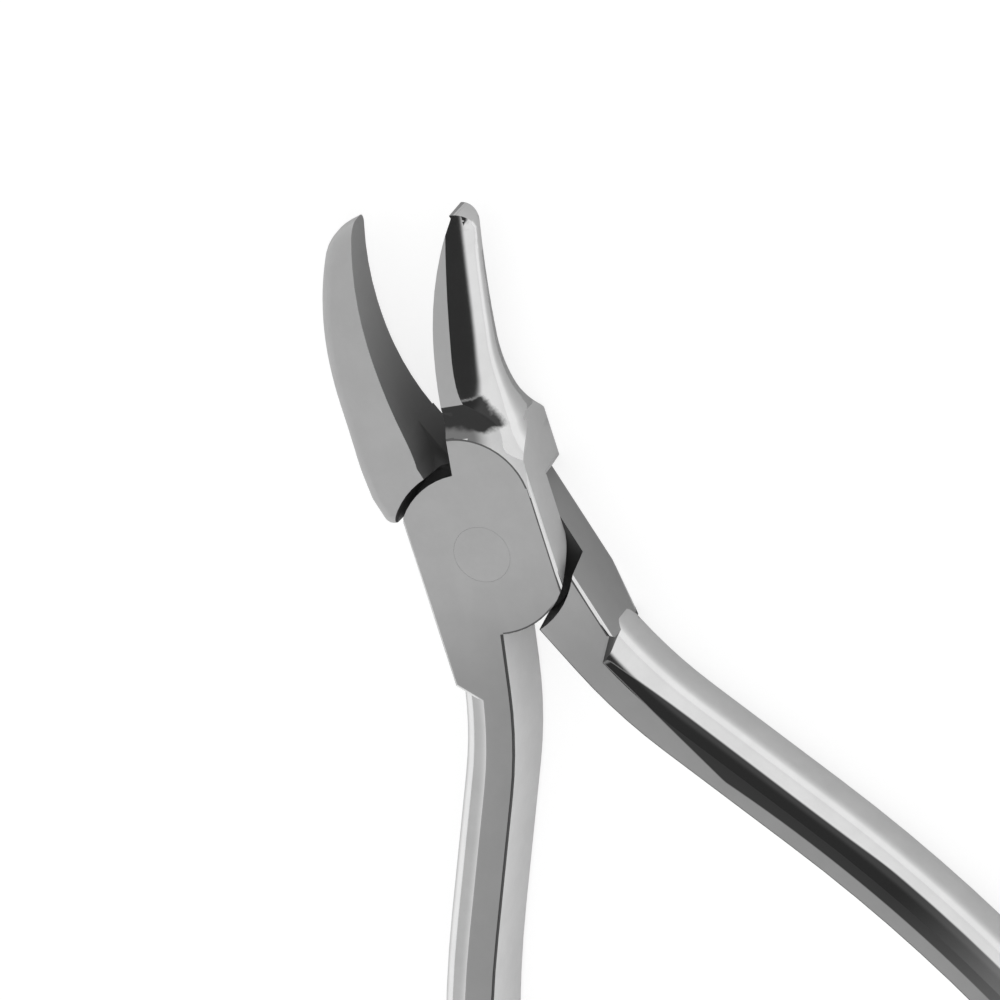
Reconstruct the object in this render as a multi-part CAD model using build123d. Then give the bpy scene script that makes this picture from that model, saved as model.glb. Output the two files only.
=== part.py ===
from build123d import *
from math import atan2, cos, degrees, radians, sin, sqrt, tan
import os

# The pliers lie flat: +Z is the normal of the ground joint faces, +Y points to the beak tips,
# and the origin is on the pivot axis, in the plane that the pliers rest on.
# Each half is drawn as when the pliers are closed and is then turned to the half-open position.

# Lap joint
joint_thickness = 7.7
joint_width = 12.9
side_chamfer = 0.25
plate_radius = 7.65
rim_draft = 17.0
shoulder_gap = 0.7
shoulder_draft = 6.0
lap_gap = 0.04
open_half_angle = 8.25

# Pivot rivet
shank_radius = 2.0
head_radius = 2.6
head_height = 1.3
running_gap = 0.03
head_gap = 0.015
seat_gap = 0.02

# Beaks
beak_reach = 31.1
closing_start = 12.4
closing_radius = 31.1
closing_gap = 0.6
concave_root_start = 5.7
convex_root_start = 4.6
taper_start = 10.5
taper_blend_radius = 9.0
taper_lean = 12.5
taper_long_radius = 62.0
tip_taper_lean = 4.7

# Inner corners of the beak roots, measured from the closing line
tongue_corner = 0.4
flank_radius = 9.0
flank_drop = 3.0

# Concave beak
concave_root_width = 6.7
concave_root_top = 8.7
concave_lean = 12.0
concave_back_start = 16.9
concave_back_radius = 27.0
concave_tip_start_lean = 42.0
concave_tip_radius = 4.5
concave_edge_radius = 1.2
root_corner_radius = 0.9

# Convex beak and its neck
convex_reach = 30.2
neck_start = 4.6
convex_neck_end = 11.2
convex_waist = 5.62
convex_waist_height = 16.2
convex_back_lean = 7.5
convex_back_radius = 120.0
convex_tip_radius = 1.7
convex_tip_lean = 10.0
convex_tip_turn = 100.0
edge_width = 3.2
edge_spread = 0.06
spread_run = 5.0
rounding_share = 0.45
search_share = 1e-6
front_flare_end = 9.9
rear_flare_end = 12.0
flare_run = 4.2
neck_lift = 0.27
neck_lift_end = 13.5
neck_lift_run = 3.0
trim_margin = 0.04
section_count = 26
crown_centre = 4.9
crown_radius = 6.15
groove_radius = 5.5
groove_depth = 0.5
groove_margin = 12.0

# Handles
handle_width = 5.2
handle_edge_radius = 3.0
inner_chamfer = 0.2
handle_start_offset = 0.5
handle_start = 7.6
block_lean = 10.5
block_run = 5.6
bend_radius = 45.0
bow_lean = 23.5
bow_run = 14.0
palm_radius = 130.0
palm_turn = 30.0
end_outer_radius = 3.6
nose_side = 11.4
nose_lean = 47.0
nose_edge_radius = 0.6
slope_start = 6.4
slope_end = 12.6
slope_height = 1.9
slope_width = 0.9

# Length by which a cutting solid runs past the face that it cuts, and the angle of a square corner
overrun = 1.0
quarter_turn = 90.0

half_width = joint_width / 2
half_thickness = joint_thickness / 2
lap_top = half_thickness + lap_gap / 2
lap_bottom = half_thickness - lap_gap / 2
shoulder_radius = plate_radius + shoulder_gap
standing = (Align.CENTER, Align.CENTER, Align.MIN)


def toward(lean):
    """Unit vector that leans out of +Y toward +X by an angle."""
    return Vector(sin(radians(lean)), cos(radians(lean)))


def flip(shape):
    """Turns a shape half round about the Y axis of the joint, so that front becomes rear."""
    return Pos(0, 0, joint_thickness) * Rot(0, 2 * quarter_turn, 0) * shape


def slab(outline, bottom, top):
    """A plan outline made solid between two heights."""
    return Pos(0, 0, bottom) * extrude(outline, top - bottom, dir=(0, 0, 1))


def side_bar(back, front):
    """The bar that the joint's ground sides belong to, with its four long edges chamfered."""
    bar = Box(joint_width, front - back, joint_thickness, align=(Align.CENTER, Align.MIN, Align.MIN))
    return Pos(0, back, 0) * chamfer(bar.edges().filter_by(Axis.Y), side_chamfer)


def plate():
    """The half-thick front plate: a disc with a drafted rim, cut flat by the joint's sides."""
    height = joint_thickness - lap_top
    disc = Cone(plate_radius - height * tan(radians(rim_draft)), plate_radius, height, align=standing)
    return Pos(0, 0, lap_top) * disc & side_bar(-plate_radius, plate_radius)


def recess(height):
    """The drafted round room left behind the plate, from below the rear face up to a height."""
    slope = tan(radians(shoulder_draft))
    wide = shoulder_radius + overrun * slope
    narrow = shoulder_radius - height * slope
    return Pos(0, 0, -overrun) * Cone(wide, narrow, height + overrun, align=standing)


def closing_face(offset, end):
    """Plan line of a beak's working face, from its base to its end along Y."""
    radius = closing_radius - offset
    lean = degrees(asin_share((end - closing_start) / radius))
    return JernArc((offset, closing_start), (0, 1), radius, -lean)


def asin_share(share):
    """Angle in radians whose sine is a share of one."""
    return atan2(share, sqrt(1 - share * share))


def taper_cutter():
    """Everything in front of the beaks' tapered front face."""
    blend = JernArc((taper_start, joint_thickness), (1, 0), taper_blend_radius, -taper_lean)
    body = JernArc(blend @ 1, blend % 1, taper_long_radius, taper_lean - tip_taper_lean)
    tip = Line(body @ 1, (body @ 1) + (body % 1) * closing_start)
    height = joint_thickness + overrun
    lid = Polyline(tip @ 1, ((tip @ 1).X, height), (taper_start, height), blend @ 0)
    return extrude(Plane.YZ * make_face([blend, body, tip, lid]), joint_width, both=True)


def taper_drop(reach):
    """Depth of the tapered front face below the joint's front face at a distance along Y."""
    if reach <= taper_start:
        return 0
    blend_run = taper_blend_radius * sin(radians(taper_lean))
    along = reach - taper_start
    if along < blend_run:
        return taper_blend_radius - sqrt(taper_blend_radius ** 2 - along ** 2)
    drop = taper_blend_radius * (1 - cos(radians(taper_lean)))
    body_run = taper_long_radius * (sin(radians(taper_lean)) - sin(radians(tip_taper_lean)))
    turn = asin_share(sin(radians(taper_lean)) - min(along - blend_run, body_run) / taper_long_radius)
    drop += taper_long_radius * (cos(turn) - cos(radians(taper_lean)))
    return drop + max(along - blend_run - body_run, 0) * tan(radians(tip_taper_lean))


def convex_back():
    """Plan line of the convex beak's outer side, from the end of the neck to beyond the tip."""
    rise = convex_waist_height - convex_neck_end
    inward = half_width - convex_waist
    radius = (rise ** 2 + inward ** 2) / (2 * inward)
    lean = degrees(asin_share(rise / radius))
    waist = JernArc((half_width, convex_neck_end), toward(-lean), radius, -lean - convex_back_lean)
    span = beak_reach + 3 * overrun - (waist @ 1).Y
    share = span / convex_back_radius + sin(radians(convex_back_lean))
    back = JernArc(waist @ 1, waist % 1, convex_back_radius, convex_back_lean - degrees(asin_share(share)))
    return [waist, back]


def eased(share):
    """A share held between 0 and 1 and eased so that it starts and ends level."""
    share = min(max(share, 0), 1)
    return share ** 2 * (3 - 2 * share)


def rounding_width(reach):
    """Width of the rounded edge, which is greatest where the beak leaves the neck."""
    return edge_width + edge_spread * (beak_reach - reach) * eased((reach - taper_start) / spread_run)


def rounding(level, deep, side, width, cut):
    """Curve of a section from its flat face over an elliptical edge to its side.

    The ellipse is as wide as the rounding; the section's side cuts it off by a distance.
    """
    turn = radians(quarter_turn) - atan2(sqrt(1 - (1 - cut / width) ** 2), 1 - cut / width)
    reach = tan(turn / 4) * 4 / 3
    middle = side + cut - width
    end = Vector(middle + width * sin(turn), level + (deep - level) * (1 - cos(turn)))
    slope = Vector(width * cos(turn), (deep - level) * sin(turn))
    return Bezier((middle, level), (middle + width * reach, level), end - slope * reach, end)


def half_round_section(reach, side):
    """Section across the convex beak: flat toward the closing line, half round on its outer side.

    Where the neck swells out into the joint, the side cuts ever further into the rounding.
    """
    drop = taper_drop(reach) - trim_margin - neck_lift * eased((neck_lift_end - reach) / neck_lift_run)
    top = joint_thickness - drop
    rise = (top - drop) * rounding_share
    width = rounding_width(reach)
    front_cut = (width - side_chamfer) * eased((front_flare_end - reach) / flare_run)
    rear_cut = (width - side_chamfer) * eased((rear_flare_end - reach) / flare_run)
    front = rounding(top, top - rise, side, width, front_cut)
    rear = rounding(drop, drop + rise, side, width, rear_cut)
    start = -joint_width
    outline = [Line((start, drop), (start, top)), Line((start, top), front @ 0), front,
               Line(front @ 1, rear @ 1), rear, Line(rear @ 0, (start, drop))]
    return Pos(0, reach, 0) * (Rot(quarter_turn, 0, 0) * make_face(outline))


def convex_side(reach):
    """Distance of the convex beak's outer side from the middle line at a distance along Y."""
    if reach <= convex_neck_end:
        return half_width
    return crossing(convex_back(), reach)


def crossing(path, reach):
    """Where a plan line that runs along Y passes a distance along Y."""
    edge = path[0] if reach < (path[0] @ 1).Y else path[1]
    low = 0.0
    high = 1.0
    while high - low > search_share:
        share = (low + high) / 2
        if (edge @ share).Y < reach:
            low = share
        else:
            high = share
    return (edge @ low).X


def half_round():
    """Smooth solid that gives the convex beak and its neck their rounded outer side."""
    step = (beak_reach + 2 * overrun - neck_start) / (section_count - 1)
    stations = [neck_start + step * number for number in range(section_count)]
    return loft([half_round_section(reach, convex_side(reach)) for reach in stations])


def neck_groove():
    """Hollow turned about the crown of the joint plate that runs the plate out into the neck."""
    groove_reach = sqrt(groove_radius ** 2 - (groove_radius - groove_depth) ** 2)
    floor = joint_thickness - groove_depth
    middle = crown_radius + groove_reach
    rim = JernArc((middle, floor), (-1, 0), groove_radius, -degrees(asin_share(groove_reach / groove_radius)))
    lid = Polyline((rim @ 1), (crown_radius, joint_thickness + overrun),
                   (joint_width, joint_thickness + overrun), (joint_width, floor), (middle, floor))
    profile = Plane.XZ * make_face([rim, lid])
    turned = revolve(Rot(0, 0, -groove_margin) * profile, Axis.Z, quarter_turn + 2 * groove_margin)
    return Pos(0, crown_centre, 0) * turned


def bar_edges(back, front):
    """The slivers that the chamfers take off the joint's sides between two places along Y."""
    bar = Pos(0, (back + front) / 2, half_thickness) * Box(joint_width, front - back, joint_thickness)
    return bar - side_bar(back, front)


def tapered(beak):
    """Cuts the front and the rear taper."""
    return beak - taper_cutter() - flip(taper_cutter())


def flank_line(side):
    """Plan arc that leads a working face down to the joint, on the right (1) or the left (-1) beak."""
    lean = degrees(asin_share(flank_drop / flank_radius))
    return JernArc((side * closing_gap / 2, closing_start), (0, -1), flank_radius, side * lean)


def heel_edge(beak):
    """The upright edge at the lower outer corner of a beak's root."""
    low = beak.edges().filter_by(Axis.Z).sort_by(Axis.Y)[:2]
    return max(low, key=lambda edge: abs((edge @ 0).X))


def convex_beak():
    """The slim right beak: its full-thickness part, and the front-half part that joins the plate."""
    face = closing_face(closing_gap / 2, convex_reach)
    flank = flank_line(1)
    shoulder = convex_reach - convex_tip_radius
    tip_start = (convex_side(shoulder), shoulder)
    tip = JernArc(tip_start, toward(convex_tip_lean), convex_tip_radius, convex_tip_turn)
    sides = Polyline(flank @ 1, ((flank @ 1).X, convex_root_start), (half_width, convex_root_start),
                     (half_width, convex_neck_end), (joint_width, convex_neck_end),
                     (joint_width, shoulder), tip_start)
    beak = slab(make_face([face, flank, sides, tip, Line(tip @ 1, face @ 1)]), 0, joint_thickness)
    beak = fillet(heel_edge(beak), root_corner_radius) & half_round()
    beak = beak - bar_edges(0, front_flare_end)
    seat = convex_root_start + root_corner_radius
    tongue = Polyline(face @ 0, (-tongue_corner, plate_radius), (0, 0), (half_width, 0),
                      (half_width, seat), (half_width / 2, closing_start - flank_drop), face @ 0)
    tongue = slab(make_face(tongue), lap_top, joint_thickness) - bar_edges(0, front_flare_end)
    beak = tapered(beak - recess(lap_top) + tongue)
    return beak - neck_groove()


def concave_back():
    """Plan line of the concave beak's outer side, from its root to the tip."""
    start = Vector(-concave_root_width, concave_root_top)
    run = (concave_back_start - concave_root_top) / cos(radians(concave_lean))
    side = Line(start, start + toward(concave_lean) * run)
    back = JernArc(side @ 1, side % 1, concave_back_radius, concave_lean - concave_tip_start_lean)
    tip = JernArc(back @ 1, back % 1, concave_tip_radius, concave_tip_start_lean - quarter_turn)
    return [side, back, tip]


def concave_beak():
    """The broad left beak: its full-thickness part, and the rear-half part that joins the rear plate."""
    path = concave_back()
    face = closing_face(-closing_gap / 2, (path[2] @ 1).Y)
    flank = flank_line(-1)
    root = Polyline(flank @ 1, ((flank @ 1).X, concave_root_start), (-concave_root_width, concave_root_start),
                    path[0] @ 0)
    end = Line(path[2] @ 1, face @ 1)
    beak = slab(make_face([face, flank, root, *path, end]), 0, joint_thickness)
    beak = tapered(fillet(heel_edge(beak), root_corner_radius))
    seat = concave_root_start + root_corner_radius
    wall = Line((-concave_root_width, seat), path[0] @ 0)
    beak = fillet([edge for edge in beak.edges() if over(edge, [wall, *path])], concave_edge_radius)
    tongue = Polyline(face @ 0, (tongue_corner, plate_radius), (0, 0), (-half_width, 0),
                      (-half_width, seat), (-half_width / 2, closing_start - flank_drop), face @ 0)
    tongue = slab(make_face(tongue), 0, lap_bottom) - bar_edges(0, front_flare_end)
    return beak - flip(recess(joint_thickness - lap_bottom)) + tongue


def handle_line(inset):
    """One long edge of the left handle as tangent runs; an inset of 0 gives the inner edge."""
    across = Vector(-cos(radians(block_lean)), sin(radians(block_lean)))
    start = Vector(-handle_start_offset, -handle_start) + across * inset
    block = Line(start, start - toward(block_lean) * block_run)
    bend = JernArc(block @ 1, block % 1, bend_radius - inset, block_lean - bow_lean)
    bow = Line(bend @ 1, (bend @ 1) + (bend % 1) * bow_run)
    palm = JernArc(bow @ 1, bow % 1, palm_radius + inset, palm_turn)
    return [block, bend, bow, palm]


def over(edge, path):
    """Whether the middle of a level edge lies over a plan path."""
    middle = edge @ 0.5
    spot = Vertex(middle.X, middle.Y, 0)
    level = abs((edge @ 1).Z - (edge @ 0).Z) < half_thickness / 2
    return level and min(line.distance_to(spot) for line in path) < seat_gap


def handle():
    """The left handle: a curved bar with its outer edges well rounded and its inner ones just broken."""
    inner = handle_line(0)
    outer = handle_line(handle_width)
    start = Line(inner[0] @ 0, outer[0] @ 0)
    end = Line(inner[3] @ 1, outer[3] @ 1)
    bar = slab(make_face([*inner, *outer, start, end]), 0, joint_thickness)
    corner = bar.edges().filter_by(Axis.Z).sort_by(Axis.Y)[:2].sort_by(Axis.X)[0]
    bar = fillet(corner, end_outer_radius)
    level = [edge for edge in bar.edges() if abs((edge @ 1).Z - (edge @ 0).Z) < seat_gap]
    bar = fillet([edge for edge in level if not over(edge, [*inner, start])], handle_edge_radius)
    return chamfer([edge for edge in bar.edges() if over(edge, inner)], inner_chamfer)


def nose_block():
    """The lower left corner of the joint, cut off on the slant with the slanted face rounded over."""
    along = toward(-nose_lean)
    away = Vector(-cos(radians(nose_lean)), -sin(radians(nose_lean)))
    size = 2 * joint_width
    keeper = Box(size, size, joint_thickness, align=(Align.CENTER, Align.MAX, Align.MIN))
    keeper = fillet(keeper.edges().filter_by(Axis.X).group_by(Axis.Y)[-1], nose_edge_radius)
    start = Vector(-half_width + side_chamfer, -nose_side) + away * nose_edge_radius
    keeper = Pos(start.X, start.Y, 0) * Rot(0, 0, quarter_turn + nose_lean) * keeper
    inside = handle_line(handle_width / 4)
    low = inside[1] @ 0.5
    outline = Polyline(inside[0] @ 0, inside[0] @ 1, low, (-half_width, low.Y), (-half_width, 0), (0, 0),
                       inside[0] @ 0)
    block = slab(make_face(outline), 0, joint_thickness) - bar_edges(low.Y, 0)
    return block & keeper


def body():
    """What both halves share: the joint plate, the corner block behind it and the handle."""
    return (handle() + nose_block() - recess(lap_top)) + plate()


def rear_slope():
    """What a slanting plane takes off the rear outer edge of the right handle's corner block."""
    top = Vector(half_width, -slope_start, 0)
    side = Vector(half_width, -slope_end, slope_height)
    rear = Vector(half_width - slope_width, -slope_end, 0)
    plane = Plane(origin=top, z_dir=(side - top).cross(rear - top))
    length = slope_end - slope_start
    room = Box(joint_width, length, joint_thickness, align=(Align.CENTER, Align.MIN, Align.CENTER))
    size = 2 * joint_width
    cutter = plane * Box(size, size, size, align=standing)
    return cutter & (Pos(half_width, -slope_end, 0) * room)


def convex_jaw_half():
    """The front half: right beak, front plate and left handle."""
    half = body() + convex_beak()
    bore = Cylinder(shank_radius + running_gap, joint_thickness, align=standing)
    seat = Cylinder(head_radius + head_gap, joint_thickness, align=standing)
    seat = Pos(0, 0, joint_thickness - head_height - seat_gap) * seat
    return Rot(0, 0, -open_half_angle) * (half - bore - seat)


def concave_jaw_half():
    """The rear half: left beak, rear plate and right handle."""
    half = (flip(body()) - rear_slope()) + concave_beak()
    bore = Cylinder(shank_radius, joint_thickness, align=standing)
    return Rot(0, 0, open_half_angle) * (half - bore)


def pivot_rivet():
    """The pivot: a shank with a low head, both ends ground flush with the joint faces."""
    shank = Cylinder(shank_radius, joint_thickness, align=standing)
    head = Cylinder(head_radius, head_height, align=standing)
    return shank + Pos(0, 0, joint_thickness - head_height) * head


def main():
    """Exports every piece in the half-open position."""
    os.makedirs("parts", exist_ok=True)
    export_step(convex_jaw_half(), "parts/convex_jaw_half.step")
    export_step(concave_jaw_half(), "parts/concave_jaw_half.step")
    export_step(pivot_rivet(), "parts/pivot_rivet.step")


main()
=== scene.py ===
"""Looks, stage and camera for the orthodontic pliers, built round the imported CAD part."""

import math

import bmesh
import bpy
from bpy.props import FloatProperty, FloatVectorProperty, PointerProperty
from mathutils import Matrix, Vector


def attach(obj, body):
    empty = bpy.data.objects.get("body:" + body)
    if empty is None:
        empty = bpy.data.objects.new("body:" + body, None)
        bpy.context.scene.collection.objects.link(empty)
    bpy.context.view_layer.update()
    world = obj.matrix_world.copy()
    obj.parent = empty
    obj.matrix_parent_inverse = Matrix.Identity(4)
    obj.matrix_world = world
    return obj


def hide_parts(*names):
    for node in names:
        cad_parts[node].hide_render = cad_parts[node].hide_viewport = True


bl_info = {
    "name": "Orthodontic Pliers",
    "version": (1, 0, 0),
    "blender": (4, 5, 0),
    "location": "View3D > Sidebar > Pliers",
    "description": "Steel finishes, studio and camera for a pair of lap-joint pliers",
    "category": "Object",
}

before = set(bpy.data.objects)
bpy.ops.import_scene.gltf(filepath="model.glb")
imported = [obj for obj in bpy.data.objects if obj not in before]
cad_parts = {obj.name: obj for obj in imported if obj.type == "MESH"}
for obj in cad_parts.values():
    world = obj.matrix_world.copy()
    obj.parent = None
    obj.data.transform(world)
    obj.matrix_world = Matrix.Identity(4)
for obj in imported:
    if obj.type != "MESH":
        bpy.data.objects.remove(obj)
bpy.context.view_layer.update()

# Joint, as drawn closed; each half was turned by HALF_ANGLE from there
HALF_ANGLE = math.radians(8.25)
THICKNESS = 0.0077
MIDDLE = THICKNESS / 2
JOINT_SIDE = 0.00645
JOINT_REACH = 0.0084
SHOULDER_REACH = 0.0079
CLOSING_RADIUS = 0.0311
CLOSING_START = 0.0124
FLANK_END = 0.0083
FLANK_WIDTH = 0.0017

# Front taper of both beaks
TAPER_START = 0.0105
TAPER_BLEND = 0.009
TAPER_LEAN = math.radians(12.5)
TAPER_LONG = 0.062
TIP_LEAN = math.radians(4.7)

# Slim beak: plan of its outer side and the ellipse that rounds it
NECK_END = 0.0112
WAIST = 0.00562
WAIST_REACH = 0.0162
WAIST_DEPTH = JOINT_SIDE - WAIST
WAIST_RADIUS = ((WAIST_REACH - NECK_END) ** 2 + WAIST_DEPTH ** 2) / (2 * WAIST_DEPTH)
BACK_LEAN = math.radians(7.5)
BACK_RADIUS = 0.12
EDGE_WIDTH = 0.0032
EDGE_SPREAD = 0.06
SPREAD_RUN = 0.005
BEAK_REACH = 0.0311
EDGE_SHARE = 0.45
TRIM_MARGIN = 0.00004
NECK_LIFT = 0.00027
NECK_LIFT_END = 0.0135
NECK_LIFT_RUN = 0.003
NECK_TOP = 0.0142
FRONT_FLARE_END = 0.0099
REAR_FLARE_END = 0.012
FLARE_RUN = 0.0042
SIDE_CHAMFER = 0.00025

# Groove round the crown of the joint plate
CROWN_CENTRE = 0.0049
CROWN_RADIUS = 0.00615
GROOVE_RADIUS = 0.0055
GROOVE_DEPTH = 0.0005
GROOVE_MIDDLE = CROWN_RADIUS + math.sqrt(GROOVE_RADIUS ** 2 - (GROOVE_RADIUS - GROOVE_DEPTH) ** 2)

# Left handle: its inner edge is a line, an arc, a line and an arc
HANDLE_WIDTH = 0.0052
HANDLE_EDGE = 0.003
NOSE_START = -0.0113
NOSE_END = -0.018
INNER_CHAMFER = 0.0002
HANDLE_START = Vector((-0.0005, -0.0076))
BLOCK_LEAN = math.radians(10.5)
BLOCK_RUN = 0.0056
BEND_RADIUS = 0.045
BOW_LEAN = math.radians(23.5)
BOW_RUN = 0.014
PALM_RADIUS = 0.13

# Directions toward the beak tips and out of the front faces, and the factors that keep a place's plan
FORWARD = Vector((0.0, 1.0, 0.0))
UPWARD = Vector((0.0, 0.0, 1.0))
IN_PLAN = Vector((1.0, 1.0, 0.0))

# Merging, finer triangles and exact normals of the meshes
MERGE_NEAR = 0.000001
POLISH_STEP = 0.0006
POLISH_CUTS = 3
CHAMFER_FOLD = (math.radians(38), math.radians(52))
NORMAL_WEIGHT = 100
EDGE_NEAR = 0.0006
SLOPE_STEP = 0.00001
LEAST_SLOPE = 1.0
LEAST_AGREEMENT = 0.85

# Tests of a face for its finish: how near it lies to a surface, its normal's share along Z, and for the
# rim of the lap how far the normal turns from the radius
NEAR = 0.00003
LAP_NEAR = 0.0001
ARC_NEAR = 0.00035
UPRIGHT = 0.05
DRAFTED = (0.05, 0.4)
CHAMFERED = (0.5, 0.9)
TAPERED = 0.9
LEVEL = 0.95
LAPPED = 0.99
RIM_TURN = 0.1

# Steel finishes in the order of their numbers, and the satin of each half
FINISHES = ("satin_steel", "polished_steel", "working_shaded_steel", "joint_shaded_steel", "hollow_steel", "inner_lit_steel")
SATIN, POLISHED, WORKING, JOINT, HOLLOW, INNER = range(len(FINISHES))
FRONT_SATIN = "front_satin_steel"
REAR_SATIN = "rear_satin_steel"

# Grain of the ground and of the polished steel: its spread, its size and the strength of its bumps
GROUND_GRAIN = (0.12, 0.0004, 0.12)
POLISH_GRAIN = (0.15, 0.003, 0.01)
GRAIN_DETAIL = 4.0
GRAIN_HEIGHT = 0.1
TINT_SPREAD = 0.35
BLOT_SIZE = 0.004
BLOT_DETAIL = 6.0
BLOT_ROUGHNESS = 0.65
BLOT_RANGE = (0.35, 0.65)

# Colour of every painted dark line, painted shade and painted dark reflection, and how softly the shades end
# toward the back
PAINTED_SHADE_COLOUR = (0.03, 0.03, 0.03, 1.0)
SHADE_FADE = 0.0012

# Painted dark lines on the front faces: a painted dark reflection down the joint's right sides and round the
# crown, and a painted shade along the lower rim
LINE_DEPTH = 0.85
LINE_WIDTH = 0.00016
LINE_SOFT = 0.00003
LINE_PLACE = 0.00606
LINE_REACH = 0.0115
CROWN_LINE_START = 0.0005
PLATE_RADIUS = 0.00765
RIM_LINE_WIDTH = 0.00014
RIM_LINE_START = -0.0004
RIM_LINE_TOP = (-0.0068, -0.0060)
FRONT_FADE = (THICKNESS - NEAR * 4, THICKNESS - NEAR)

# Painted dark reflection in the hollow of the neck, with a ragged outline
NECK_SHADE = 1.0
NECK_SHADE_INNER = (0.0066, 0.0073)
NECK_SHADE_LOW = (0.0109, 0.0114)
NECK_SHADE_HIGH = (0.0139, 0.0144)
NECK_SHADE_SIDE = (0.0094, 0.0099)
NECK_SHADE_SLANT = 0.45
RAGGED_SIZE = 0.0012
RAGGED_DETAIL = 4.0
RAGGED_SHIFT = 0.0011

# Painted shade on stretches of the hollow, of the working faces and of the handles' front faces
HOLLOW_SHADE = 0.8
HOLLOW_SHADE_RUN = (0.0026, 0.0042)
ROOT_SHADE = 0.6
ROOT_SHADE_RUN = (0.009, 0.024)
ROOT_SHADE_FOOT = (0.004, 0.009)
HANDLE_SHADE = 0.34
HANDLE_SHADE_RUN = (-0.014, 0.0)

# Painted dark reflection along the right handle: its straight sides, the arcs that follow them, and its run
# along Y
BAND_INNER = Vector((0.9199, 0.3922, 0.0))
BAND_INNER_LEVEL = 0.00064
BAND_OUTER = Vector((0.8519, 0.5239, 0.0))
BAND_OUTER_LEVEL = -0.00097
BAND_SOFT = 0.00015
BAND_CENTRE = Vector((-0.09545, -0.10228, 0.0))
BAND_LOW = 0.0015
BAND_HIGH = 0.0041
BAND_START = (-0.0130, -0.0124)
BAND_TURN = (-0.0320, -0.0280)
BAND_END = (-0.080, -0.040)

# Floor: length over which a mirrored ray counts as near, the glow beyond it, and the paper's colours; the
# weaker glow up to that length is a painted shadow in the steel's reflections
MIRROR_NEAR = (0.003, 0.018)
MIRROR_FAR_GLOW = 0.62
SEEN_PAPER = (0.34, 0.34, 0.34, 1.0)
PLAIN_PAPER = (0.8, 0.8, 0.8, 1.0)

# Light tent: middle of its dark opening, and the side where the opening ends early and the tent is dimmer
PANEL_MIDDLE = Vector((0.0, -0.28, 0.96))
DIM_SIDE = Vector((-0.766, 0.643, 0.0))
PANEL_SIDE_RUN = (0.2, 0.5)
DIM_SIDE_RUN = (0.2, 0.7)
DIM_SIDE_LIGHT = 0.62
SKIRT_RUN = (0.0, 0.3)

# View of the photograph: image axes in the part's frame, scale and the pixel of the pivot
VIEW_RIGHT = Vector((0.84461, -0.41754, -0.33740)).normalized()
VIEW_BACK = VIEW_RIGHT.cross(Vector((0.26905, 0.87338, -0.40684))).normalized()
VIEW_UP = VIEW_BACK.cross(VIEW_RIGHT)
IMAGE_SIZE = 1000.0
PIXELS_PER_METRE = 11500.0
PIVOT_PIXEL = (481.93, 554.65)
CAMERA_DISTANCE = 1.6
CAMERA_CLIP = 20.0
SENSOR_WIDTH = 36.0


class SteelFinish(bpy.types.PropertyGroup):
    """Colours and roughness of the steel finishes, and the angle that keeps an edge crisp."""

    satin_colour: FloatVectorProperty(
        name="Satin colour", description="Reflected colour of the ground faces",
        default=(0.62, 0.62, 0.62), size=3, min=0.0, max=1.0, subtype="COLOR")
    satin_roughness: FloatProperty(
        name="Satin roughness", description="Roughness of the ground faces",
        default=0.55, min=0.0, max=1.0, subtype="FACTOR")
    satin_metal: FloatProperty(
        name="Satin metallic", description="Share of metal reflection in the ground faces",
        default=0.5, min=0.0, max=1.0, subtype="FACTOR")
    # The working colour is a darker copy of the satin, a painted shade on the working faces between the
    # beaks, the rear half's joint side and the lap beyond the shoulder; it is not a coarser grind
    working_shade_colour: FloatVectorProperty(
        name="Working colour", description="Reflected colour of the coarsely ground working faces",
        default=(0.36, 0.36, 0.36), size=3, min=0.0, max=1.0, subtype="COLOR")
    # The hollow colour is much lighter than the satin: a painted highlight for the hollow's bright
    # reflection, darkened toward the working faces by painted shade
    hollow_highlight_colour: FloatVectorProperty(
        name="Hollow colour",
        description="Reflected colour of the hollow between the slim beak and the joint",
        default=(0.95, 0.95, 0.95), size=3, min=0.0, max=1.0, subtype="COLOR")
    # The inner colour is a lighter copy of the satin: painted light on the handles' inner sides
    inner_lit_colour: FloatVectorProperty(
        name="Inner colour", description="Reflected colour of the handles' inner sides",
        default=(0.84, 0.84, 0.84), size=3, min=0.0, max=1.0, subtype="COLOR")
    # The joint colour is nearly black: painted shade for the faces inside the lap joint, the inner chamfers
    # of the handles and the nose of the rear handle
    joint_shade_colour: FloatVectorProperty(
        name="Joint colour", description="Reflected colour of the dark faces inside the lap joint",
        default=(0.09, 0.09, 0.09), size=3, min=0.0, max=1.0, subtype="COLOR")
    joint_roughness: FloatProperty(
        name="Joint roughness", description="Roughness of the faces inside the lap joint",
        default=0.45, min=0.0, max=1.0, subtype="FACTOR")
    polish_colour: FloatVectorProperty(
        name="Polish colour", description="Reflected colour of the polished faces",
        default=(0.88, 0.88, 0.88), size=3, min=0.0, max=1.0, subtype="COLOR")
    polish_roughness: FloatProperty(
        name="Polish roughness", description="Roughness of the polished faces",
        default=0.12, min=0.0, max=1.0, subtype="FACTOR")
    crease_angle: FloatProperty(
        name="Crease angle", description="Angle from which an edge stays crisp",
        default=math.radians(17), min=0.0, max=math.pi, subtype="ANGLE")


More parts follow.
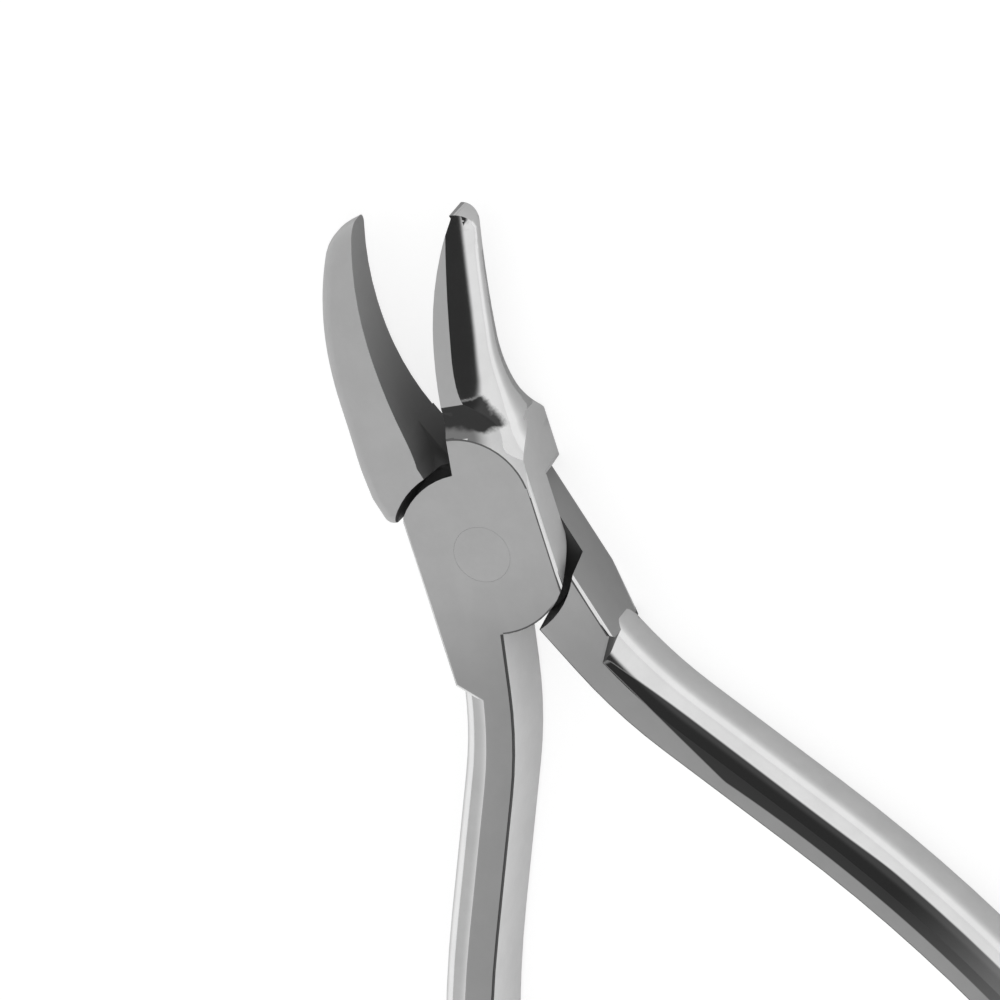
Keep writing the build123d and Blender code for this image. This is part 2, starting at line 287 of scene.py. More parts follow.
class StudioLook(bpy.types.PropertyGroup):
    """Sizes and brightness of the studio."""

    floor_size: FloatProperty(
        name="Floor size", description="Length of the floor's sides",
        default=3.0, min=0.1, unit="LENGTH")
    floor_glow: FloatProperty(
        name="Floor glow", description="Plain brightness added to the floor as the camera sees it",
        default=0.78, min=0.0, max=1.0, subtype="FACTOR")
    # The low mirrored glow is a painted shadow of the steel in its own reflections of the floor
    shadowed_mirror_glow: FloatProperty(
        name="Mirrored glow",
        description="Plain brightness added to the floor as the steel close to it mirrors it",
        default=0.22, min=0.0, max=1.0, subtype="FACTOR")
    tent_light: FloatProperty(
        name="Tent light", description="Brightness of the light tent round the object",
        default=1.0, min=0.0)
    dark_panel: FloatProperty(
        name="Dark panel", description="Brightness of the dark opening above the object",
        default=0.03, min=0.0)
    skirt_light: FloatProperty(
        name="Skirt light", description="Brightness of the tent where it meets the floor",
        default=0.95, min=0.0)
    panel_reach: FloatProperty(
        name="Panel reach", description="Angle from the middle of the dark opening to its rim",
        default=math.radians(34), min=0.0, max=math.pi, subtype="ANGLE")
    panel_softness: FloatProperty(
        name="Panel softness", description="Angle over which the rim of the dark opening fades",
        default=math.radians(7), min=0.0, max=math.pi, subtype="ANGLE")


def new_tree(material):
    """Empties a material's node tree and gives it an output."""
    material.use_nodes = True
    tree = material.node_tree
    tree.nodes.clear()
    return tree, tree.nodes.new("ShaderNodeOutputMaterial")


def ramp(tree, value, low, high, start, end):
    """Smooth ramp of a value between two levels."""
    node = tree.nodes.new("ShaderNodeMapRange")
    node.interpolation_type = "SMOOTHSTEP"
    node.inputs["From Min"].default_value = low
    node.inputs["From Max"].default_value = high
    node.inputs["To Min"].default_value = start
    node.inputs["To Max"].default_value = end
    tree.links.new(value, node.inputs["Value"])
    return node.outputs["Result"]


def reading(tree, vector, direction, low, high, start, end):
    """Smooth ramp over the component of a vector along a direction."""
    along = tree.nodes.new("ShaderNodeVectorMath")
    along.operation = "DOT_PRODUCT"
    along.inputs[1].default_value = direction.normalized()
    tree.links.new(vector, along.inputs[0])
    return ramp(tree, along.outputs["Value"], low, high, start, end)


def joined(tree, operation, first, second):
    """Two values brought together by an operation of the Math node."""
    node = tree.nodes.new("ShaderNodeMath")
    node.operation = operation
    for socket, value in zip(node.inputs, (first, second)):
        if isinstance(value, float):
            socket.default_value = value
        else:
            tree.links.new(value, socket)
    return node.outputs["Value"]


def product(tree, parts):
    """All the parts of a mask multiplied together."""
    mask = parts[0]
    for part in parts[1:]:
        mask = joined(tree, "MULTIPLY", mask, part)
    return mask


def speckle(tree, place, size, detail):
    """Noise node that varies over a place, in grains of a given size."""
    node = tree.nodes.new("ShaderNodeTexNoise")
    node.inputs["Scale"].default_value = 1.0 / size
    node.inputs["Detail"].default_value = detail
    tree.links.new(place, node.inputs["Vector"])
    return node


def blotchy(tree, place, fine):
    """Even mix of the fine grain with wide soft blots."""
    blot = speckle(tree, place, BLOT_SIZE, BLOT_DETAIL)
    blot.inputs["Roughness"].default_value = BLOT_ROUGHNESS
    blots = ramp(tree, blot.outputs["Fac"], *BLOT_RANGE, 0.0, 1.0)
    return joined(tree, "MULTIPLY", joined(tree, "ADD", blots, fine), 0.5)


def shaded(tree, place, colour, shades):
    """A colour with painted shades and painted dark reflections laid over it, and the share of the steel that
    they leave bare.
    """
    bare = 1.0
    for shade in shades:
        mask = shade(tree, place)
        cover = tree.nodes.new("ShaderNodeMix")
        cover.data_type = "RGBA"
        cover.inputs["B"].default_value = PAINTED_SHADE_COLOUR
        tree.links.new(colour, cover.inputs["A"])
        tree.links.new(mask, cover.inputs["Factor"])
        colour = cover.outputs["Result"]
        bare = joined(tree, "MULTIPLY", bare, ramp(tree, mask, 0.0, 1.0, 1.0, 0.0))
    return colour, bare


def steel(name, colour, roughness, metal, grain, shades=()):
    """Makes a steel whose tone, roughness and height vary finely, with painted dark lines, painted shades and
    painted dark reflections laid over it.
    """
    spread, size, bump = grain
    tree, output = new_tree(bpy.data.materials.new(name))
    nodes, links = tree.nodes, tree.links
    shader = nodes.new("ShaderNodeBsdfPrincipled")
    shader.inputs["Metallic"].default_value = metal
    place = nodes.new("ShaderNodeTexCoord").outputs["Object"]
    fine = speckle(tree, place, size, GRAIN_DETAIL).outputs["Fac"]
    rough = nodes.new("ShaderNodeMapRange")
    rough.inputs["To Min"].default_value = roughness * (1.0 - spread)
    rough.inputs["To Max"].default_value = roughness * (1.0 + spread)
    links.new(fine, rough.inputs["Value"])
    links.new(rough.outputs["Result"], shader.inputs["Roughness"])
    tint = nodes.new("ShaderNodeMix")
    tint.data_type = "RGBA"
    tint.inputs["A"].default_value = (*[c * (1.0 - spread * TINT_SPREAD) for c in colour], 1.0)
    tint.inputs["B"].default_value = (*[min(c * (1.0 + spread * TINT_SPREAD), 1.0) for c in colour], 1.0)
    links.new(blotchy(tree, place, fine), tint.inputs["Factor"])
    toned, bare = shaded(tree, place, tint.outputs["Result"], shades)
    links.new(toned, shader.inputs["Base Color"])
    if shades:
        links.new(joined(tree, "MULTIPLY", bare, metal), shader.inputs["Metallic"])
    height = nodes.new("ShaderNodeBump")
    height.inputs["Strength"].default_value = bump
    height.inputs["Distance"].default_value = size * GRAIN_HEIGHT
    links.new(fine, height.inputs["Height"])
    links.new(height.outputs["Normal"], shader.inputs["Normal"])
    links.new(shader.outputs["BSDF"], output.inputs["Surface"])


def turned_axes(turn):
    """Directions across and along a half that is turned by an angle."""
    across = Vector((math.cos(turn), math.sin(turn), 0.0))
    return across, Vector((-across.y, across.x, 0.0))


def on_front(tree, place):
    """Mask that is 1 on the front faces of the joint and the handles, and 0 behind them."""
    return reading(tree, place, UPWARD, *FRONT_FADE, 0.0, 1.0)


def on_upper(tree, place):
    """Mask that is 1 in the front half of the thickness, and 0 from its middle back."""
    return reading(tree, place, UPWARD, MIDDLE, MIDDLE + SHADE_FADE, 0.0, 1.0)


def plan_distance(tree, place, centre):
    """A place measured from a centre in plan, and its distance from there."""
    flat = tree.nodes.new("ShaderNodeVectorMath")
    flat.operation = "MULTIPLY_ADD"
    flat.inputs[1].default_value = IN_PLAN
    flat.inputs[2].default_value = -centre
    tree.links.new(place, flat.inputs[0])
    away = tree.nodes.new("ShaderNodeVectorMath")
    away.operation = "LENGTH"
    tree.links.new(flat.outputs["Vector"], away.inputs[0])
    return flat.outputs["Vector"], away.outputs["Value"]


def crown_place(tree, place, turn):
    """A place measured from the middle of the crown's arc, and its distance from there in plan."""
    return plan_distance(tree, place, Matrix.Rotation(turn, 3, "Z") @ Vector((0.0, CROWN_CENTRE, 0.0)))


def side_reflection_line(turn):
    """Shade for the painted dark reflection where a front face meets the chamfer of the joint's right side.
    """
    across, along = turned_axes(turn)
    end = LINE_PLACE + LINE_WIDTH

    def shade(tree, place):
        return product(tree, (
            reading(tree, place, across, LINE_PLACE, LINE_PLACE + LINE_SOFT, 0.0, LINE_DEPTH),
            reading(tree, place, across, end, end + LINE_SOFT, 1.0, 0.0),
            on_front(tree, place),
            reading(tree, place, along, -LINE_REACH - LINE_SOFT, -LINE_REACH, 0.0, 1.0),
        ))

    return shade


def crown_reflection_line(turn):
    """Shade for the painted dark reflection along the edge round the crown of the joint plate."""
    _, along = turned_axes(turn)
    inner = CROWN_RADIUS - LINE_WIDTH

    def shade(tree, place):
        flat, away = crown_place(tree, place, turn)
        return product(tree, (
            ramp(tree, away, inner - LINE_SOFT, inner, 0.0, LINE_DEPTH),
            on_front(tree, place),
            reading(tree, flat, along, CROWN_LINE_START, CROWN_LINE_START + LINE_SOFT, 0.0, 1.0),
        ))

    return shade


def rim_shade_line(turn):
    """Painted shade along the step where the plate's round lower edge stands above the other handle."""
    across, _ = turned_axes(turn)
    inner = PLATE_RADIUS - RIM_LINE_WIDTH

    def shade(tree, place):
        _, away = plan_distance(tree, place, Vector((0.0, 0.0, 0.0)))
        return product(tree, (
            ramp(tree, away, inner - LINE_SOFT, inner, 0.0, LINE_DEPTH),
            ramp(tree, away, PLATE_RADIUS, PLATE_RADIUS + LINE_SOFT, 1.0, 0.0),
            on_front(tree, place),
            reading(tree, place, across, RIM_LINE_START - LINE_SOFT, RIM_LINE_START, 0.0, 1.0),
            reading(tree, place, FORWARD, *RIM_LINE_TOP, 1.0, 0.0),
        ))

    return shade


def ragged(tree, place):
    """A place shifted about a little, so that a mask read from it gets a ragged outline."""
    shift = tree.nodes.new("ShaderNodeVectorMath")
    shift.operation = "MULTIPLY_ADD"
    shift.inputs[1].default_value = IN_PLAN * RAGGED_SHIFT
    shift.inputs[2].default_value = -IN_PLAN * RAGGED_SHIFT / 2
    noise = speckle(tree, place, RAGGED_SIZE, RAGGED_DETAIL)
    tree.links.new(noise.outputs["Color"], shift.inputs[0])
    moved = tree.nodes.new("ShaderNodeVectorMath")
    moved.operation = "ADD"
    tree.links.new(place, moved.inputs[0])
    tree.links.new(shift.outputs["Vector"], moved.inputs[1])
    return moved.outputs["Vector"]


def neck_dark_reflection(turn):
    """Shade for the painted dark reflection in the hollow between the slim beak and the crown."""
    across, along = turned_axes(turn)

    def shade(tree, place):
        spot = ragged(tree, place)
        _, away = crown_place(tree, spot, turn)
        return product(tree, (
            ramp(tree, away, *NECK_SHADE_INNER, 0.0, NECK_SHADE),
            reading(tree, spot, along, *NECK_SHADE_LOW, 0.0, 1.0),
            reading(tree, spot, along, *NECK_SHADE_HIGH, 1.0, 0.0),
            reading(tree, spot, across + along * NECK_SHADE_SLANT, *NECK_SHADE_SIDE, 1.0, 0.0),
            on_upper(tree, spot),
        ))

    return shade


def hollow_shade(turn):
    """Painted shade that darkens the hollow toward the working faces."""
    across, _ = turned_axes(turn)

    def shade(tree, place):
        return reading(tree, place, across, *HOLLOW_SHADE_RUN, HOLLOW_SHADE, 0.0)

    return shade


def root_shade(tree, place):
    """Painted shade that darkens the working faces toward the joint, where the beaks shade each other."""
    return product(tree, (
        reading(tree, place, FORWARD, *ROOT_SHADE_RUN, ROOT_SHADE, 0.0),
        reading(tree, place, FORWARD, *ROOT_SHADE_FOOT, 0.0, 1.0),
    ))


def handle_shade(tree, place):
    """Painted shade that darkens the handles' front faces down the handles, away from the pivot."""
    low = reading(tree, place, FORWARD, *HANDLE_SHADE_RUN, HANDLE_SHADE, 0.0)
    return joined(tree, "MULTIPLY", low, on_front(tree, place))


def handle_dark_reflection(tree, place):
    """Shade for the painted dark reflection that starts at the right handle's nose and fades out toward its
    end.
    """
    _, away = plan_distance(tree, place, BAND_CENTRE)
    low, high = PALM_RADIUS + BAND_LOW, PALM_RADIUS + BAND_HIGH
    arc = ramp(tree, away, high, high + BAND_SOFT, 1.0, 0.0)
    return product(tree, (
        reading(tree, place, BAND_INNER, BAND_INNER_LEVEL, BAND_INNER_LEVEL + BAND_SOFT, 0.0, 1.0),
        reading(tree, place, BAND_OUTER, BAND_OUTER_LEVEL, BAND_OUTER_LEVEL + BAND_SOFT, 1.0, 0.0),
        ramp(tree, away, low, low + BAND_SOFT, 0.0, 1.0),
        joined(tree, "MAXIMUM", arc, reading(tree, place, FORWARD, *BAND_TURN, 0.0, 1.0)),
        on_upper(tree, place),
        reading(tree, place, FORWARD, *BAND_START, 1.0, 0.0),
        reading(tree, place, FORWARD, *BAND_END, 0.0, 1.0),
    ))


def finishes(satin):
    """The steel finishes, made once, in the order of the finish numbers, with a half's own satin first."""
    look = bpy.context.scene.pliers_steel
    if FINISHES[SATIN] not in bpy.data.materials:
        ground = (look.satin_roughness, look.satin_metal, GROUND_GRAIN)
        # Each shade laid on below is painted: dark edge lines, painted shade and painted dark reflections
        neck = neck_dark_reflection(-HALF_ANGLE)
        front = (side_reflection_line(-HALF_ANGLE), crown_reflection_line(-HALF_ANGLE), rim_shade_line(-HALF_ANGLE), handle_shade)
        rear = (side_reflection_line(HALF_ANGLE), handle_shade, handle_dark_reflection)
        hollow = (hollow_shade(-HALF_ANGLE), neck)
        polished = (neck, handle_dark_reflection)
        steel(FINISHES[SATIN], look.satin_colour, *ground)
        steel(FRONT_SATIN, look.satin_colour, *ground, front)
        steel(REAR_SATIN, look.satin_colour, *ground, rear)
        steel(FINISHES[POLISHED], look.polish_colour, look.polish_roughness, 1.0, POLISH_GRAIN, polished)
        steel(FINISHES[HOLLOW], look.hollow_highlight_colour, *ground, hollow)
        steel(FINISHES[INNER], look.inner_lit_colour, *ground)
        steel(FINISHES[WORKING], look.working_shade_colour, *ground, (root_shade,))
        steel(FINISHES[JOINT], look.joint_shade_colour, look.joint_roughness, look.satin_metal, GROUND_GRAIN)
    return [bpy.data.materials[name] for name in (satin, *FINISHES[1:])]


def eased(share):
    """A share held between 0 and 1 and eased at both ends."""
    share = min(max(share, 0.0), 1.0)
    return share ** 2 * (3 - 2 * share)


def taper_drop(reach):
    """Depth of the tapered front face below the joint's front face at a distance along Y."""
    along = reach - TAPER_START
    if along <= 0:
        return 0.0
    blend_run = TAPER_BLEND * math.sin(TAPER_LEAN)
    if along < blend_run:
        return TAPER_BLEND - math.sqrt(TAPER_BLEND ** 2 - along ** 2)
    long_run = TAPER_LONG * (math.sin(TAPER_LEAN) - math.sin(TIP_LEAN))
    turn = math.asin(math.sin(TAPER_LEAN) - min(along - blend_run, long_run) / TAPER_LONG)
    drop = TAPER_BLEND * (1 - math.cos(TAPER_LEAN)) + TAPER_LONG * (math.cos(turn) - math.cos(TAPER_LEAN))
    return drop + max(along - blend_run - long_run, 0.0) * math.tan(TIP_LEAN)


def slim_side(reach):
    """Distance of the slim beak's outer side from the middle line at a distance along Y."""
    if reach <= NECK_END:
        return JOINT_SIDE
    back_start = WAIST_REACH + WAIST_RADIUS * math.sin(BACK_LEAN)
    if reach <= back_start:
        return WAIST + WAIST_RADIUS - math.sqrt(WAIST_RADIUS ** 2 - (reach - WAIST_REACH) ** 2)
    start = WAIST + WAIST_RADIUS * (1 - math.cos(BACK_LEAN)) - BACK_RADIUS * math.cos(BACK_LEAN)
    middle = back_start + BACK_RADIUS * math.sin(BACK_LEAN)
    return start + math.sqrt(BACK_RADIUS ** 2 - (reach - middle) ** 2)


def edge_level(point, flare_end):
    """Level of the slim beak's rounded edge at a point: 0 on the surface and more than 0 outside it."""
    x, reach, z = point
    drop = taper_drop(reach) - TRIM_MARGIN - NECK_LIFT * eased((NECK_LIFT_END - reach) / NECK_LIFT_RUN)
    rise = (THICKNESS - 2 * drop) * EDGE_SHARE
    width = EDGE_WIDTH + EDGE_SPREAD * (BEAK_REACH - reach) * eased((reach - TAPER_START) / SPREAD_RUN)
    cut = (width - SIDE_CHAMFER) * eased((flare_end - reach) / FLARE_RUN)
    across = (x - slim_side(reach) - cut + width) / width
    upward = (z - THICKNESS + drop + rise) / rise
    return math.hypot(across, upward) - 1.0


def edge_normal(point, flare_end):
    """Normal of the slim beak's rounded edge at a point that lies on it, or None."""
    slope = Vector((0.0, 0.0, 0.0))
    for axis in range(3):
        ahead = point.copy()
        ahead[axis] += SLOPE_STEP
        behind = point.copy()
        behind[axis] -= SLOPE_STEP
        slope[axis] = (edge_level(ahead, flare_end) - edge_level(behind, flare_end)) / (2 * SLOPE_STEP)
    if slope.length < LEAST_SLOPE or abs(edge_level(point, flare_end)) / slope.length > EDGE_NEAR:
        return None
    return slope.normalized()


def groove_place(point):
    """Plan vector from the crown's middle, slope of the groove's floor and the height of a point above it."""
    away = Vector((point.x, point.y - CROWN_CENTRE))
    inward = max(GROOVE_MIDDLE - away.length, 0.0)
    floor = THICKNESS - GROOVE_DEPTH + GROOVE_RADIUS - math.sqrt(max(GROOVE_RADIUS ** 2 - inward ** 2, 0.0))
    return away, inward / GROOVE_RADIUS, point.z - floor


def groove_normal(point):
    """Normal of the groove round the crown of the joint plate at a point that lies in it, or None."""
    away, tilt, height = groove_place(point)
    if abs(height) > NEAR or away.length < CROWN_RADIUS - NEAR or point.y < CROWN_CENTRE:
        return None
    away.normalize()
    return Vector((away.x * tilt, away.y * tilt, math.sqrt(1 - tilt ** 2)))


def lean_vector(lean):
    """Plan vector that points back along the left handle and leans outward by an angle."""
    return Vector((-math.sin(lean), -math.cos(lean)))


def handle_place(spot):
    """Distance of a plan spot from the left handle's inner edge, and the outward plan direction there."""
    start = HANDLE_START
    along = lean_vector(BLOCK_LEAN)
    outward = Vector((along.y, -along.x))
    run = (spot - start).dot(along)
    if run < BLOCK_RUN:
        return (spot - start).dot(outward), outward
    start = start + along * BLOCK_RUN
    centre = start + outward * BEND_RADIUS
    along = lean_vector(BOW_LEAN)
    outward = Vector((along.y, -along.x))
    start = centre - outward * BEND_RADIUS
    run = (spot - start).dot(along)
    if run < 0:
        away = centre - spot
        return BEND_RADIUS - away.length, away.normalized()
    if run < BOW_RUN:
        return (spot - start).dot(outward), outward
    centre = start + along * BOW_RUN - outward * PALM_RADIUS
    away = spot - centre
    return away.length - PALM_RADIUS, away.normalized()


def handle_normal(point):
    """Normal of the left handle's rounded outer side at a point that lies on it, or None."""
    if point.y > HANDLE_START.y:
        return None
    inset, outward = handle_place(point.xy)
    across = inset - HANDLE_WIDTH + HANDLE_EDGE
    upward = max(point.z - THICKNESS + HANDLE_EDGE, 0.0) + min(point.z - HANDLE_EDGE, 0.0)
    if across < -NEAR or abs(math.hypot(across, upward) - HANDLE_EDGE) > NEAR:
        return None
    return Vector((outward.x * across, outward.y * across, upward)).normalized()


def turned_over(vector):
    """A direction turned half round about the Y axis."""
    return Vector((-vector.x, vector.y, -vector.z))


def convex_normal(point):
    """Exact normal of the front half's polished surface at a point, or None where there is none."""
    under = Vector((point.x, point.y, THICKNESS - point.z))
    upper = edge_normal(point, FRONT_FLARE_END) or groove_normal(point) or handle_normal(point)
    if upper or point.z > MIDDLE:
        return upper
    lower = edge_normal(under, REAR_FLARE_END)
    return lower and Vector((lower.x, lower.y, -lower.z))


def concave_normal(point):
    """Exact normal of the rear half's polished handle at a point, or None where there is none."""
    found = handle_normal(Vector((-point.x, point.y, THICKNESS - point.z)))
    return found and turned_over(found)


def common_finish(centre, normal):
    """Finish of a face that both halves have, as drawn closed, or None."""
    rise = abs(normal.z)
    arc = math.hypot(centre.x - CLOSING_RADIUS, centre.y - CLOSING_START)
    beak = centre.y > CLOSING_START - NEAR and abs(arc - CLOSING_RADIUS) < ARC_NEAR
    flank = FLANK_END < centre.y < CLOSING_START and abs(centre.x) < FLANK_WIDTH
    if rise < UPRIGHT and (beak or flank):
        return WORKING
    if rise > LEVEL and (centre.z > THICKNESS - NEAR or centre.z < NEAR):
        return SATIN
    drop = taper_drop(centre.y)
    depth = min(abs(centre.z - drop), abs(centre.z - THICKNESS + drop))
    if depth < NEAR and abs(normal.x) < UPRIGHT and rise > TAPERED:
        return SATIN
    away = math.hypot(centre.x, centre.y)
    lap = rise > LAPPED and abs(centre.z - MIDDLE) < LAP_NEAR
    if lap and away > SHOULDER_REACH:
        return WORKING
    turn = Vector((normal.x, normal.y)).normalized().cross(Vector((centre.x, centre.y)).normalized())
    rim = abs(turn) < RIM_TURN and DRAFTED[0] < rise < DRAFTED[1] and away < JOINT_REACH
    # Faces inside the lap joint take the nearly black joint steel, as painted shade
    if lap or rim:
        return JOINT
    if rise < UPRIGHT and abs(abs(centre.x) - JOINT_SIDE) < NEAR:
        return SATIN
    if centre.y < HANDLE_START.y:
        inset, _ = handle_place(Vector((-abs(centre.x), centre.y)))
        # The handles' inner sides take the lighter inner steel, as painted light
        if abs(inset) < NEAR:
            return INNER
        if inset < INNER_CHAMFER and CHAMFERED[0] < rise < CHAMFERED[1]:
            return JOINT
    return None


def convex_finish(centre, normal):
    """Finish of a face of the front half, as drawn closed."""
    found = common_finish(centre, normal)
    if found is None and centre.z > MIDDLE and 0 < centre.y < NECK_TOP:
        on_edge = abs(edge_level(centre, FRONT_FLARE_END)) * EDGE_WIDTH / 2
        on_groove = abs(groove_place(centre)[2])
        return POLISHED if on_edge < min(on_groove, EDGE_NEAR) else HOLLOW
    return POLISHED if found is None else found


def concave_finish(centre, normal):
    """Finish of a face of the rear half, as drawn closed: its beak is satin all round."""
    found = common_finish(centre, normal)
    if found is None:
        smooth = handle_normal(Vector((-centre.x, centre.y, THICKNESS - centre.z)))
        nose = NOSE_END < centre.y < NOSE_START and not smooth
        found = SATIN if centre.y > 0 else JOINT if nose else POLISHED
    # The rear half's joint side takes the darker working steel, as painted shade
    side = abs(normal.z) < UPRIGHT and centre.x > JOINT_SIDE - NEAR and centre.y < JOINT_REACH
    return WORKING if side and found == SATIN else found


def steel_half(node, name, turn, satin, finish_of, normal_of):
    """Copy of a CAD half with its doubles merged, its finish chosen face by face and its polish smooth."""
    mesh = bpy.data.meshes.new(name)
    shape = bmesh.new()
    shape.from_mesh(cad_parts[node].data)
    bmesh.ops.remove_doubles(shape, verts=shape.verts, dist=MERGE_NEAR)
    back = Matrix.Rotation(-turn, 3, "Z")
    for face in shape.faces:
        face.material_index = finish_of(back @ face.calc_center_median(), back @ face.normal)
        face.smooth = True
    long_edges = [edge for edge in shape.edges if edge.calc_length() > POLISH_STEP
                  and all(face.material_index == POLISHED for face in edge.link_faces)]
    bmesh.ops.subdivide_edges(shape, edges=long_edges, cuts=POLISH_CUTS, use_grid_fill=True)
    bmesh.ops.triangulate(shape, faces=[face for face in shape.faces if len(face.verts) > 3])
    crease = bpy.context.scene.pliers_steel.crease_angle
    low, high = CHAMFER_FOLD
    for edge in shape.edges:
        angle = edge.calc_face_angle(0.0)
        ground = all(face.material_index == WORKING for face in edge.link_faces)
        edge.smooth = ground or angle < crease or low < angle < high
    shape.to_mesh(mesh)
    shape.free()
    piece = bpy.data.objects.new(name, mesh)
    bpy.context.scene.collection.objects.link(piece)
    for material in finishes(satin):
        mesh.materials.append(material)
    weights = piece.modifiers.new("Weighted normals", "WEIGHTED_NORMAL")
    weights.mode = "FACE_AREA"
    weights.keep_sharp = True
    weights.weight = NORMAL_WEIGHT
    graph = bpy.context.evaluated_depsgraph_get()
    finished = bpy.data.meshes.new_from_object(piece.evaluated_get(graph))
    piece.modifiers.clear()
    piece.data = finished
    finished.name = name
    polish(finished, back, normal_of)
    return piece


def polish(mesh, back, normal_of):
    """Gives the polished faces the exact normals of their surface, so that reflections run smoothly."""
    normals = [corner.vector.copy() for corner in mesh.corner_normals]
    forth = back.transposed()
    for face in mesh.polygons:
        if face.material_index != POLISHED:
            continue
        for index in face.loop_indices:
            exact = normal_of(back @ mesh.vertices[mesh.loops[index].vertex_index].co)
            if exact:
                exact = forth @ exact
                if exact.dot(face.normal) > LEAST_AGREEMENT:
                    normals[index] = exact
    mesh.normals_split_custom_set(normals)


class PLIERS_OT_convex_half(bpy.types.Operator):
    """Dresses the front half with the slim bulging beak"""

    bl_idname = "pliers.convex_half"
    bl_label = "Convex Half"

    def execute(self, context):
        piece = steel_half("convex_jaw_half", "convex_half", -HALF_ANGLE, FRONT_SATIN, convex_finish,
                           convex_normal)
        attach(piece, "front_half")
        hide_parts("convex_jaw_half")
        return {"FINISHED"}


class PLIERS_OT_concave_half(bpy.types.Operator):
    """Dresses the rear half with the broad hollow beak"""

    bl_idname = "pliers.concave_half"
    bl_label = "Concave Half"

    def execute(self, context):
        piece = steel_half("concave_jaw_half", "concave_half", HALF_ANGLE, REAR_SATIN, concave_finish,
                           concave_normal)
        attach(piece, "rear_half")
        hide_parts("concave_jaw_half")
        return {"FINISHED"}


class PLIERS_OT_rivet(bpy.types.Operator):
    """Gives the pivot rivet its ground finish"""

    bl_idname = "pliers.rivet"
    bl_label = "Pivot Rivet"

    def execute(self, context):
        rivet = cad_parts["pivot_rivet"]
        rivet.data.materials.clear()
        rivet.data.materials.append(finishes(FINISHES[SATIN])[SATIN])
        return {"FINISHED"}


def light_tent(world):
    """World light: an even white tent, whose dark opening, skirt and dimmer side only gloss can see."""
    look = bpy.context.scene.pliers_studio
    world.use_nodes = True
    tree = world.node_tree
    tree.nodes.clear()
    nodes, links = tree.nodes, tree.links
    output = nodes.new("ShaderNodeOutputWorld")
    place = nodes.new("ShaderNodeTexCoord").outputs["Generated"]
    rim = (math.cos(look.panel_reach + look.panel_softness), math.cos(look.panel_reach - look.panel_softness))
    opening = reading(tree, place, PANEL_MIDDLE, *rim, 0.0, 1.0)
    side = reading(tree, place, DIM_SIDE, *PANEL_SIDE_RUN, 1.0, 0.0)
    dark = joined(tree, "MULTIPLY", opening, side)
    skirt = reading(tree, place, UPWARD, *SKIRT_RUN, look.skirt_light, look.tent_light)
    dimmed = reading(tree, place, DIM_SIDE, *DIM_SIDE_RUN, 1.0, DIM_SIDE_LIGHT)
    bright = joined(tree, "MULTIPLY", skirt, dimmed)
    shade = joined(tree, "MULTIPLY", dark, look.dark_panel - 1.0)
    strength = joined(tree, "MULTIPLY", bright, joined(tree, "ADD", shade, 1.0))
    path = nodes.new("ShaderNodeLightPath")
    tent = nodes.new("ShaderNodeBackground")
    links.new(strength, tent.inputs["Strength"])
    plain = nodes.new("ShaderNodeBackground")
    plain.inputs["Strength"].default_value = look.tent_light
    chosen = nodes.new("ShaderNodeMixShader")
    links.new(path.outputs["Is Glossy Ray"], chosen.inputs[0])
    links.new(plain.outputs[0], chosen.inputs[1])
    links.new(tent.outputs[0], chosen.inputs[2])
    links.new(chosen.outputs[0], output.inputs["Surface"])


def floor_material():
    """White paper that glows for the camera, glows less for reflections near the steel as a painted shadow,
    and keeps shadows.
    """
    look = bpy.context.scene.pliers_studio
    material = bpy.data.materials.new("white_paper")
    tree, output = new_tree(material)
    nodes, links = tree.nodes, tree.links
    paper = nodes.new("ShaderNodeBsdfDiffuse")
    paper.inputs["Color"].default_value = SEEN_PAPER
    glow = nodes.new("ShaderNodeEmission")
    path = nodes.new("ShaderNodeLightPath")
    # Reflections of the floor close to the steel get less glow: a painted shadow of the steel in its own
    # reflections
    mirrored = ramp(tree, path.outputs["Ray Length"], *MIRROR_NEAR, look.shadowed_mirror_glow, MIRROR_FAR_GLOW)
    direct = joined(tree, "MULTIPLY", path.outputs["Is Camera Ray"], look.floor_glow)
    links.new(joined(tree, "MAXIMUM", mirrored, direct), glow.inputs["Strength"])
    both = nodes.new("ShaderNodeAddShader")
    links.new(paper.outputs[0], both.inputs[0])
    links.new(glow.outputs[0], both.inputs[1])
    seen = joined(tree, "MAXIMUM", path.outputs["Is Camera Ray"], path.outputs["Is Glossy Ray"])
    plain = nodes.new("ShaderNodeBsdfDiffuse")
    plain.inputs["Color"].default_value = PLAIN_PAPER
    chosen = nodes.new("ShaderNodeMixShader")
    links.new(seen, chosen.inputs[0])
    links.new(plain.outputs[0], chosen.inputs[1])
    links.new(both.outputs[0], chosen.inputs[2])
    links.new(chosen.outputs[0], output.inputs["Surface"])
    return material


def make_camera():
    """Camera at the photograph's viewing angle, far away with a long lens."""
    data = bpy.data.cameras.new("camera")
    camera = bpy.data.objects.new("camera", data)
    bpy.context.scene.collection.objects.link(camera)
    right = (IMAGE_SIZE / 2 - PIVOT_PIXEL[0]) / PIXELS_PER_METRE
    up = (PIVOT_PIXEL[1] - IMAGE_SIZE / 2) / PIXELS_PER_METRE
    middle = Vector((0.0, 0.0, THICKNESS)) + VIEW_RIGHT * right + VIEW_UP * up
    turn = Matrix((VIEW_RIGHT, VIEW_UP, VIEW_BACK)).transposed().to_4x4()
    camera.matrix_world = Matrix.Translation(middle + VIEW_BACK * CAMERA_DISTANCE) @ turn
    data.sensor_width = SENSOR_WIDTH
    data.lens = SENSOR_WIDTH * CAMERA_DISTANCE * PIXELS_PER_METRE / IMAGE_SIZE
    data.clip_end = CAMERA_CLIP
    bpy.context.scene.camera = camera


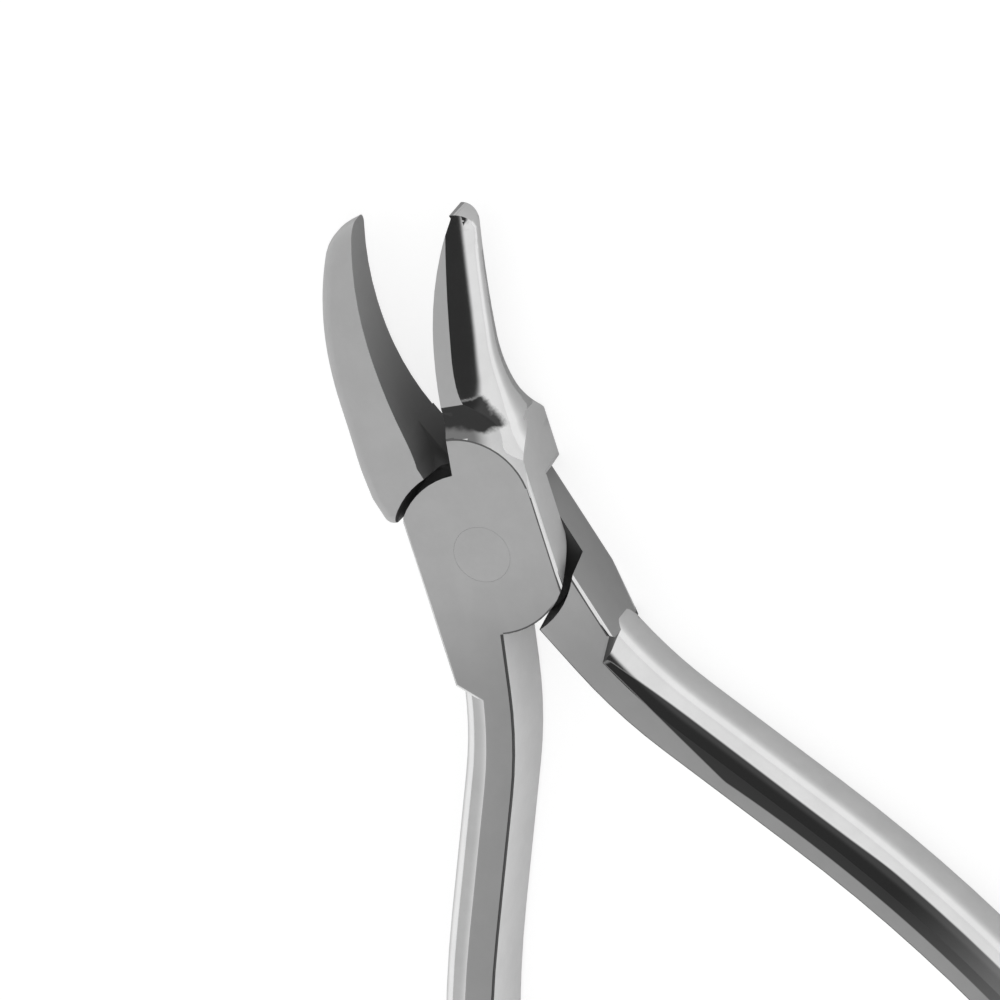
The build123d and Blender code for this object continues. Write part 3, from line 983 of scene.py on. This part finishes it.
class PLIERS_OT_studio(bpy.types.Operator):
    """Builds the floor, the light tent and the camera"""

    bl_idname = "pliers.studio"
    bl_label = "Studio"

    def execute(self, context):
        look = context.scene.pliers_studio
        half = look.floor_size / 2
        mesh = bpy.data.meshes.new("floor")
        corners = [(-half, -half, 0.0), (half, -half, 0.0), (half, half, 0.0), (-half, half, 0.0)]
        mesh.from_pydata(corners, [], [(0, 1, 2, 3)])
        mesh.materials.append(floor_material())
        floor = bpy.data.objects.new("floor", mesh)
        context.scene.collection.objects.link(floor)
        world = bpy.data.worlds.new("light_tent")
        context.scene.world = world
        light_tent(world)
        make_camera()
        context.scene.view_settings.view_transform = "Standard"
        return {"FINISHED"}


class PLIERS_PT_panel(bpy.types.Panel):
    """Sidebar panel of the pliers"""

    bl_idname = "PLIERS_PT_panel"
    bl_label = "Orthodontic Pliers"
    bl_space_type = "VIEW_3D"
    bl_region_type = "UI"
    bl_category = "Pliers"

    def draw(self, context):
        layout = self.layout
        for settings in (context.scene.pliers_steel, context.scene.pliers_studio):
            for name in settings.bl_rna.properties.keys():
                if name not in {"rna_type", "name"}:
                    layout.prop(settings, name)
        for operator in (PLIERS_OT_convex_half, PLIERS_OT_concave_half, PLIERS_OT_rivet, PLIERS_OT_studio):
            layout.operator(operator.bl_idname)


CLASSES = (
    SteelFinish,
    StudioLook,
    PLIERS_OT_convex_half,
    PLIERS_OT_concave_half,
    PLIERS_OT_rivet,
    PLIERS_OT_studio,
    PLIERS_PT_panel,
)


def register():
    """Registers the classes and hangs the settings on the scene."""
    for item in CLASSES:
        bpy.utils.register_class(item)
    bpy.types.Scene.pliers_steel = PointerProperty(type=SteelFinish)
    bpy.types.Scene.pliers_studio = PointerProperty(type=StudioLook)


def unregister():
    """Takes the settings and the classes away again."""
    del bpy.types.Scene.pliers_studio
    del bpy.types.Scene.pliers_steel
    for item in reversed(CLASSES):
        bpy.utils.unregister_class(item)


def main():
    """Builds the whole scene."""
    register()
    bpy.ops.pliers.convex_half()
    bpy.ops.pliers.concave_half()
    bpy.ops.pliers.rivet()
    bpy.ops.pliers.studio()


if __name__ == "__main__":
    main()
